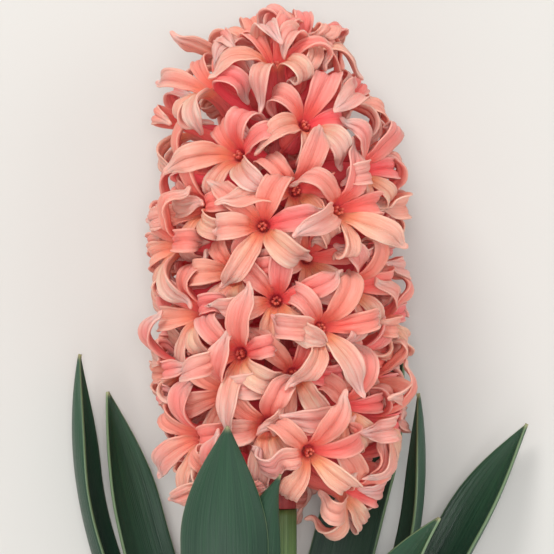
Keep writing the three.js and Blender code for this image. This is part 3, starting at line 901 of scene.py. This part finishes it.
class Paint:
    """Short ways to add nodes to a material or a node group."""

    def __init__(self, tree):
        self.nodes, self.links = tree.nodes, tree.links

    def join(self, value, socket):
        """Links a socket to another node's output, or gives it a plain value."""
        if isinstance(value, bpy.types.NodeSocket):
            self.links.new(value, socket)
        else:
            socket.default_value = value

    def attribute(self, name):
        node = self.nodes.new("ShaderNodeAttribute")
        node.attribute_name = name
        return node.outputs["Fac"]

    def number(self, operation, *inputs, clamp=False):
        node = self.nodes.new("ShaderNodeMath")
        node.operation = operation
        node.use_clamp = clamp
        for value, socket in zip(inputs, node.inputs):
            self.join(value, socket)
        return node.outputs[0]

    def times(self, a, b, clamp=False):
        return self.number("MULTIPLY", a, b, clamp=clamp)

    def less(self, a, b, clamp=False):
        return self.number("SUBTRACT", a, b, clamp=clamp)

    def scaled(self, value, factor, offset, clamp=False):
        return self.number("MULTIPLY_ADD", value, factor, offset, clamp=clamp)

    def ramp(self, source, stops):
        node = self.nodes.new("ShaderNodeValToRGB")
        node.color_ramp.interpolation = "EASE"
        points = node.color_ramp.elements
        while len(points) < len(stops):
            points.new(0.5)
        for point, (place, colour) in zip(points, stops):
            point.position = place
            point.color = colour
        self.join(source, node.inputs[0])
        return node.outputs[0]

    def blend(self, share, a, b):
        node = self.nodes.new("ShaderNodeMix")
        node.data_type = "RGBA"
        for value, socket in ((share, node.inputs["Factor"]), (a, node.inputs[6]), (b, node.inputs[7])):
            self.join(value, socket)
        return node.outputs[2]

    def noise(self, settings, vector=None):
        node = self.nodes.new("ShaderNodeTexNoise")
        for name, value in settings.items():
            node.inputs[name].default_value = value
        if vector is not None:
            self.links.new(vector, node.inputs["Vector"])
        return node.outputs["Fac"]

    def bump(self, height, distance, strength):
        node = self.nodes.new("ShaderNodeBump")
        for value, name in ((height, "Height"), (distance, "Distance"), (strength, "Strength")):
            self.join(value, node.inputs[name])
        return node.outputs["Normal"]

    def streaks(self, across, along, seed, lines, drift):
        node = self.nodes.new("ShaderNodeGroup")
        node.node_tree = STREAKS
        for value, name in zip((across, along, seed, lines, drift), STREAK_INPUTS):
            self.join(value, node.inputs[name])
        return node.outputs["Mask"], node.outputs["Height"]

    def dress(self, values):
        """Sets the sockets of the material's own shader."""
        shader = self.nodes["Principled BSDF"]
        for name, value in values.items():
            self.join(value, shader.inputs[name])


STREAK_INPUTS = ("Across", "Along", "Seed", "Lines", "Drift")


def streaks_group():
    """Fine lines that run along a petal, a leaf or a stalk: a mask that varies across it, and a height."""
    group = bpy.data.node_groups.new("fine streaks", "ShaderNodeTree")
    for name in STREAK_INPUTS:
        group.interface.new_socket(name, in_out="INPUT", socket_type="NodeSocketFloat")
    for name in ("Mask", "Height"):
        group.interface.new_socket(name, in_out="OUTPUT", socket_type="NodeSocketFloat")
    paint = Paint(group)
    source = paint.nodes.new("NodeGroupInput").outputs
    result = paint.nodes.new("NodeGroupOutput").inputs
    place = paint.nodes.new("ShaderNodeCombineXYZ")
    paint.join(paint.times(source["Across"], source["Lines"]), place.inputs[0])
    paint.join(paint.times(source["Along"], source["Drift"]), place.inputs[1])
    paint.join(paint.times(source["Seed"], 37.0), place.inputs[2])
    noise = paint.noise(dict(Scale=1.0, Detail=3.0, Roughness=0.6), place.outputs[0])
    paint.join(paint.scaled(noise, 2.2, -0.6, clamp=True), result["Mask"])
    paint.join(noise, result["Height"])
    return group


STREAKS = streaks_group()


def new_material(name):
    material = bpy.data.materials.new(name)
    material.use_nodes = True
    return material, Paint(material.node_tree)


AMBER = srgb(220, 170, 112)
PEACH = srgb(216, 212, 182)
SALMON = srgb(214, 208, 194)
ROSE = srgb(216, 190, 184)
TIP_PINK = srgb(226, 182, 172)
DUSKY_ROSE = srgb(224, 108, 106)
STREAK_RED = srgb(204, 80, 74)
MIDLINE_RED = srgb(206, 78, 58)
WARM_ORANGE = srgb(250, 170, 120)
CARMINE = srgb(248, 66, 88)
CORAL = srgb(240, 120, 122)
# Partly the petals' own paler edge colour, partly a painted highlight on the rolled margins
PALE_MARGIN_AND_HIGHLIGHT = srgb(255, 232, 214)
BLACK = srgb(0, 0, 0)

# The petals' stops run from a tube's foot at 0 through the throat at 0.5 to the tip at 1
PALE_STOPS = [(0.34, srgb(168, 74, 82)), (0.45, srgb(188, 92, 80)), (0.495, srgb(226, 138, 96)),
              (0.53, AMBER), (0.64, PEACH), (0.82, SALMON), (0.93, ROSE), (1.0, TIP_PINK)]
ROSY_STOPS = [(0.0, srgb(226, 96, 88)), (0.12, CARMINE), (0.56, CARMINE), (0.76, CORAL),
              (0.93, ROSE), (1.0, TIP_PINK)]
LEAF_STOPS = [(0.0, srgb(222, 220, 170)), (0.12, srgb(150, 170, 98)), (0.3, srgb(58, 92, 56)),
              (0.6, srgb(22, 56, 42)), (0.985, srgb(30, 72, 48)), (1.0, srgb(216, 200, 150))]
PLATE_STOPS = [(0.35, srgb(150, 116, 76)), (0.5, srgb(206, 182, 134)), (0.65, srgb(230, 216, 176))]
FLOOR_STOPS = [(0.3, srgb(208, 208, 205)), (0.7, srgb(214, 214, 211))]


def petal_material():
    material, paint = new_material("petal")
    along, across, tint = [paint.attribute(name) for name in ("along", "across", "tint")]
    edge = paint.number("ABSOLUTE", across)
    mask, height = paint.streaks(across, along, tint, 4.5, 1.2)
    # The narrow tip has no streaks
    off_the_tip = paint.scaled(along, -5.0, 4.6, clamp=True)
    mask = paint.times(mask, off_the_tip)
    height = paint.times(paint.less(height, 0.5), off_the_tip)
    # Lobes differ from rosy to pale by where they lie on the texture
    pale_share = paint.attribute("skin")
    place = paint.scaled(along, 0.5, 0.5)
    pale, rosy = paint.ramp(place, PALE_STOPS), paint.ramp(place, ROSY_STOPS)
    colour = paint.blend(pale_share, rosy, pale)
    off_the_tube = paint.times(along, 4.0, clamp=True)
    # Paler margins: partly the petals' own paler edges, partly a painted highlight where the rolled margins
    # catch the light
    margin = paint.times(paint.number("POWER", edge, 3.0), off_the_tube)
    margin = paint.times(margin, paint.scaled(mask, 0.5, 0.25))
    colour = paint.blend(margin, colour, PALE_MARGIN_AND_HIGHLIGHT)
    patches, _ = paint.streaks(across, along, tint, 1.6, 2.6)
    dusky = paint.blend(0.55, colour, DUSKY_ROSE)
    colour = paint.blend(paint.times(patches, 0.85), colour, dusky)
    colour = paint.blend(mask, colour, paint.blend(0.5, colour, STREAK_RED))
    midline = paint.less(1.0, paint.times(edge, 9.0), clamp=True)
    midline = paint.times(midline, paint.less(0.9, along, clamp=True))
    midline = paint.times(midline, off_the_tube)
    colour = paint.blend(paint.times(midline, 0.6), colour, MIDLINE_RED)
    colour = paint.blend(paint.times(tint, 0.5), colour, paint.blend(0.45, colour, WARM_ORANGE))
    # A painted glow: faint carmine emission on the tubes and the feet of the rosy lobes stands in for light
    # that comes through the petals
    deep = paint.scaled(along, -1.5, 1.0, clamp=True)
    rosy_share = paint.less(1.0, pale_share, clamp=True)
    paint.dress({
        "Base Color": colour,
        "Roughness": paint.scaled(mask, 0.14, 0.42),
        "Normal": paint.bump(height, 0.0007, 0.8),
        "Specular IOR Level": 0.35,
        "Subsurface Weight": 0.35,
        "Subsurface Radius": (1.0, 0.5, 0.45),
        "Subsurface Scale": 0.0018,
        # Painted glow: carmine emission for the light that comes through the petals
        "Emission Color": paint.blend(paint.times(deep, rosy_share), BLACK, CARMINE),
        "Emission Strength": 0.12,
    })
    return material


def leaf_material():
    material, paint = new_material("leaf")
    along, across, tint = [paint.attribute(name) for name in ("along", "across", "tint")]
    mask, height = paint.streaks(across, along, tint, 26.0, 1.5)
    broad, _ = paint.streaks(across, along, tint, 3.0, 2.5)
    margin = paint.number("GREATER_THAN", paint.number("ABSOLUTE", across), 0.985)
    colour = paint.ramp(along, LEAF_STOPS)
    for part, share, over in ((mask, 0.4, srgb(66, 108, 76)), (broad, 0.6, srgb(14, 40, 34)),
                              (margin, 0.45, srgb(140, 166, 120))):
        colour = paint.blend(paint.times(part, share), colour, over)
    paint.dress({
        "Base Color": colour,
        "Roughness": paint.scaled(mask, 0.16, 0.3),
        "Normal": paint.bump(height, 0.0005, 0.5),
        "Specular IOR Level": 0.5,
    })
    return material


def stalk_material(name, pale, deep):
    material, paint = new_material(name)
    mask, height = paint.streaks(paint.attribute("across"), paint.attribute("along"), 0.0, 14.0, 3.0)
    paint.dress({
        "Base Color": paint.blend(mask, pale, deep),
        "Roughness": paint.scaled(mask, 0.2, 0.35),
        "Normal": paint.bump(height, 0.0006, 0.5),
    })
    return material


def plate_material():
    material, paint = new_material("bulb plate")
    place = paint.nodes.new("ShaderNodeTexCoord").outputs["Object"]
    noise = paint.noise(dict(Scale=260.0, Detail=6.0), place)
    paint.dress({
        "Base Color": paint.ramp(noise, PLATE_STOPS),
        "Roughness": paint.scaled(noise, 0.3, 0.55),
        "Normal": paint.bump(noise, 0.001, 0.7),
    })
    return material


# Leaves, stalk and plate

LEAF_ROWS = 110
LEAF_COLUMNS = 25
LEAF_WAVE = 0.35
ROD_SIDES = 48
ROD_STATIONS = 60
FLUTES = 9
FLUTE_DEPTH = 0.02
PLATE_SIDES = 96
# The plate's rises and shares of its radius from the cut end up, and the share beyond which its rim is uneven
PLATE_PROFILE = [(0.0, 0.2), (0.0, 0.55), (0.0, 0.9), (0.35, 0.985), (1.2, 1.0), (2.8, 1.0), (3.6, 0.985),
                 (PLATE_THICKNESS, 0.9), (PLATE_THICKNESS, 0.6), (PLATE_THICKNESS, 0.3)]
RIM_SHARE = 0.95


def build_leaf(leaf, material, seed):
    """A strap of two skins, with a gently waved margin and a hooded tip."""
    shares = np.linspace(-1, 1, LEAF_COLUMNS)
    stations = 0.998 * (1 - (1 - np.linspace(0, 1, LEAF_ROWS))**1.35)
    surface, normal, half = leaf_surface(leaf, stations, shares)
    wave = LEAF_WAVE * np.sin(stations * 19 + seed)[:, None] * np.abs(shares)**3
    wave = wave * smoothstep(stations, 0.2, 0.5)[:, None]
    surface = surface + normal * wave[..., None]
    body = Body()
    up, down = [body.add_points(surface + way * normal * half[..., None], along=stations[:, None],
                                across=shares, tint=seed * 0.137 % 1) for way in (1, -1)]
    heights = (0.01, 0.96)
    body.add_quads(up, texture_patch(LEAF_ROWS, LEAF_COLUMNS, (0.02, 0.44), heights))
    body.add_quads(down, texture_patch(LEAF_ROWS, LEAF_COLUMNS, (0.48, 0.9), heights), turned=True)
    for column, first, second, left in ((0, up, down, 0.92), (-1, down, up, 0.96)):
        places = texture_patch(LEAF_ROWS, 2, (left, left + 0.02), heights).swapaxes(0, 1)
        body.add_quads(np.stack([first[:, column], second[:, column]]), places)
    for row, first, second, low in ((-1, up, down, 0.97), (0, down, up, 0.985)):
        places = texture_patch(2, LEAF_COLUMNS, (0.02, 0.9), (low, low + 0.01))
        body.add_quads(np.stack([first[row], second[row]]), places)
    body.finish(leaf["name"], material, leaf["name"])


def stalk_line(y, z):
    """Points above the stalk's place on the surface."""
    return np.stack([np.full_like(y, STALK_X), y, np.broadcast_to(z, y.shape)], 1)


def build_round(name, middles, radii, material, node, slot, **values):
    """A round piece along points that run up +Y, from its radius at each of them and each turn."""
    turns = even_turns(radii.shape[1])
    ring = np.stack([-np.cos(turns), np.zeros_like(turns), np.sin(turns)], 1)
    body = Body()
    body.add_tube(middles[:, None] + radii[..., None] * ring, (0.01, 0.9), (0.01, 0.99),
                  ((0.95, 0.2), (0.95, 0.4)), 0.04, **values)
    body.finish(name, material, node)


def build_rod(name, middles, radii, material, node, slot):
    """A round stem with shallow flutes."""
    fluted = 1 + FLUTE_DEPTH * np.cos(FLUTES * even_turns(ROD_SIDES))
    across = 3 * np.abs(np.linspace(-1, 1, ROD_SIDES, endpoint=False))
    build_round(name, middles, radii[:, None] * fluted, material, node, slot,
                along=np.linspace(0, 1, len(middles))[:, None], across=across)


def build_stalk():
    """The bare stalk and, inside the head, the rachis."""
    y = np.linspace(CUT_END_Y + PLATE_THICKNESS + SEAT_GAP, HEAD_FOOT_Y - SEAT_GAP, ROD_STATIONS)
    z = mix(PLATE_RADIUS, HEAD_AXIS_Z, smoothstep(y, CUT_END_Y + 25, HEAD_FOOT_Y - 5))
    green = stalk_material("stalk", srgb(108, 136, 76), srgb(68, 98, 54))
    build_rod("scape", stalk_line(y, z), np.full_like(y, STALK_RADIUS), green, "scape", "stalk")
    y = np.linspace(HEAD_FOOT_Y, HEAD_TOP_Y, ROD_STATIONS)
    radii = np.linspace(RACHIS_RADIUS_AT_FOOT, RACHIS_RADIUS_AT_TOP, ROD_STATIONS)
    # Crimson instead of a stem's green: painted red light, standing in for the light that comes through the
    # petals into the gaps between florets
    red = stalk_material("rachis", srgb(196, 84, 78), srgb(150, 48, 56))
    build_rod("rachis", stalk_line(y, HEAD_AXIS_Z), radii, red, "flower_head", "petal")


def build_plate():
    """A slice of bulb plate: a thick round slice with a bevelled, slightly uneven rim."""
    turns = even_turns(PLATE_SIDES)
    uneven = 1 + 0.006 * np.cos(5 * turns + 1) + 0.005 * np.cos(11 * turns) - 0.011
    rises, shares = np.array(PLATE_PROFILE).T
    radii = PLATE_RADIUS * shares[:, None] * np.where(shares[:, None] > RIM_SHARE, uneven, 1)
    build_round("basal_plate", stalk_line(CUT_END_Y + rises, PLATE_RADIUS), radii, plate_material(),
                "basal_plate", "plate")


def build_head():
    """All florets, once their petals have opened."""
    material = petal_material()
    backs, faces = petal_skins(*fine_petals(open_petals()))
    for i in range(FLORETS):
        build_floret(i, backs, faces, material)


# Floor, lights and camera

CAMERA_X = -7.0
CAMERA_Y = 56.0
CAMERA_DISTANCE = 900.0
FRAME_WIDTH = 158.3
SENSOR_WIDTH = 36.0
LIGHTS_AIM = Vector((0, 0.04, 0.03))
# Place, size, power and colour of each light
LIGHTS = {
    "key": ((-0.45, 0.98, 0.95), 0.5, 10.2, (1.0, 0.98, 0.95)),
    "front": ((0.0, 0.1, 1.3), 0.3, 4.6, (1.0, 0.98, 0.97)),
    "fill": ((0.9, 0.1, 0.7), 0.9, 3.2, (0.97, 0.99, 1.0)),
    "low": ((-0.3, -0.9, 0.6), 0.9, 3.2, (1.0, 1.0, 1.0)),
}
WORLD_COLOUR = (1.0, 0.95, 0.92, 1)
WORLD_STRENGTH = 0.52


def put(name, data, place):
    """Puts a light or a camera in the scene."""
    thing = bpy.data.objects.new(name, data)
    thing.location = place
    bpy.context.scene.collection.objects.link(thing)
    return thing


def build_studio():
    scene = bpy.context.scene
    bpy.ops.mesh.primitive_plane_add(size=6, location=(0, 0, 0))
    floor = bpy.context.object
    floor.name = "floor"
    material, paint = new_material("pale floor")
    paint.dress({"Base Color": paint.ramp(paint.noise(dict(Scale=14.0)), FLOOR_STOPS), "Roughness": 0.9})
    floor.data.materials.append(material)

    for name, (place, size, power, colour) in LIGHTS.items():
        light = bpy.data.lights.new(name, "AREA")
        light.size = size
        light.energy = power
        light.color = colour
        aim = LIGHTS_AIM - Vector(place)
        put(name, light, place).rotation_euler = aim.to_track_quat("-Z", "Y").to_euler()
    scene.world = bpy.data.worlds.new("soft studio")
    scene.world.use_nodes = True
    background = scene.world.node_tree.nodes["Background"].inputs
    background["Color"].default_value = WORLD_COLOUR
    background["Strength"].default_value = WORLD_STRENGTH
    scene.view_settings.view_transform = "Standard"

    camera = bpy.data.cameras.new("camera")
    camera.sensor_width = SENSOR_WIDTH
    camera.lens = SENSOR_WIDTH * CAMERA_DISTANCE / FRAME_WIDTH
    camera.clip_start = 0.01
    scene.camera = put("camera", camera, Vector((CAMERA_X, CAMERA_Y, HEAD_AXIS_Z + CAMERA_DISTANCE)) * MM)


build_studio()
build_stalk()
build_plate()
leaf_skin = leaf_material()
for seed, leaf in enumerate(LEAVES):
    build_leaf(leaf, leaf_skin, 1.7 * seed)
build_head()
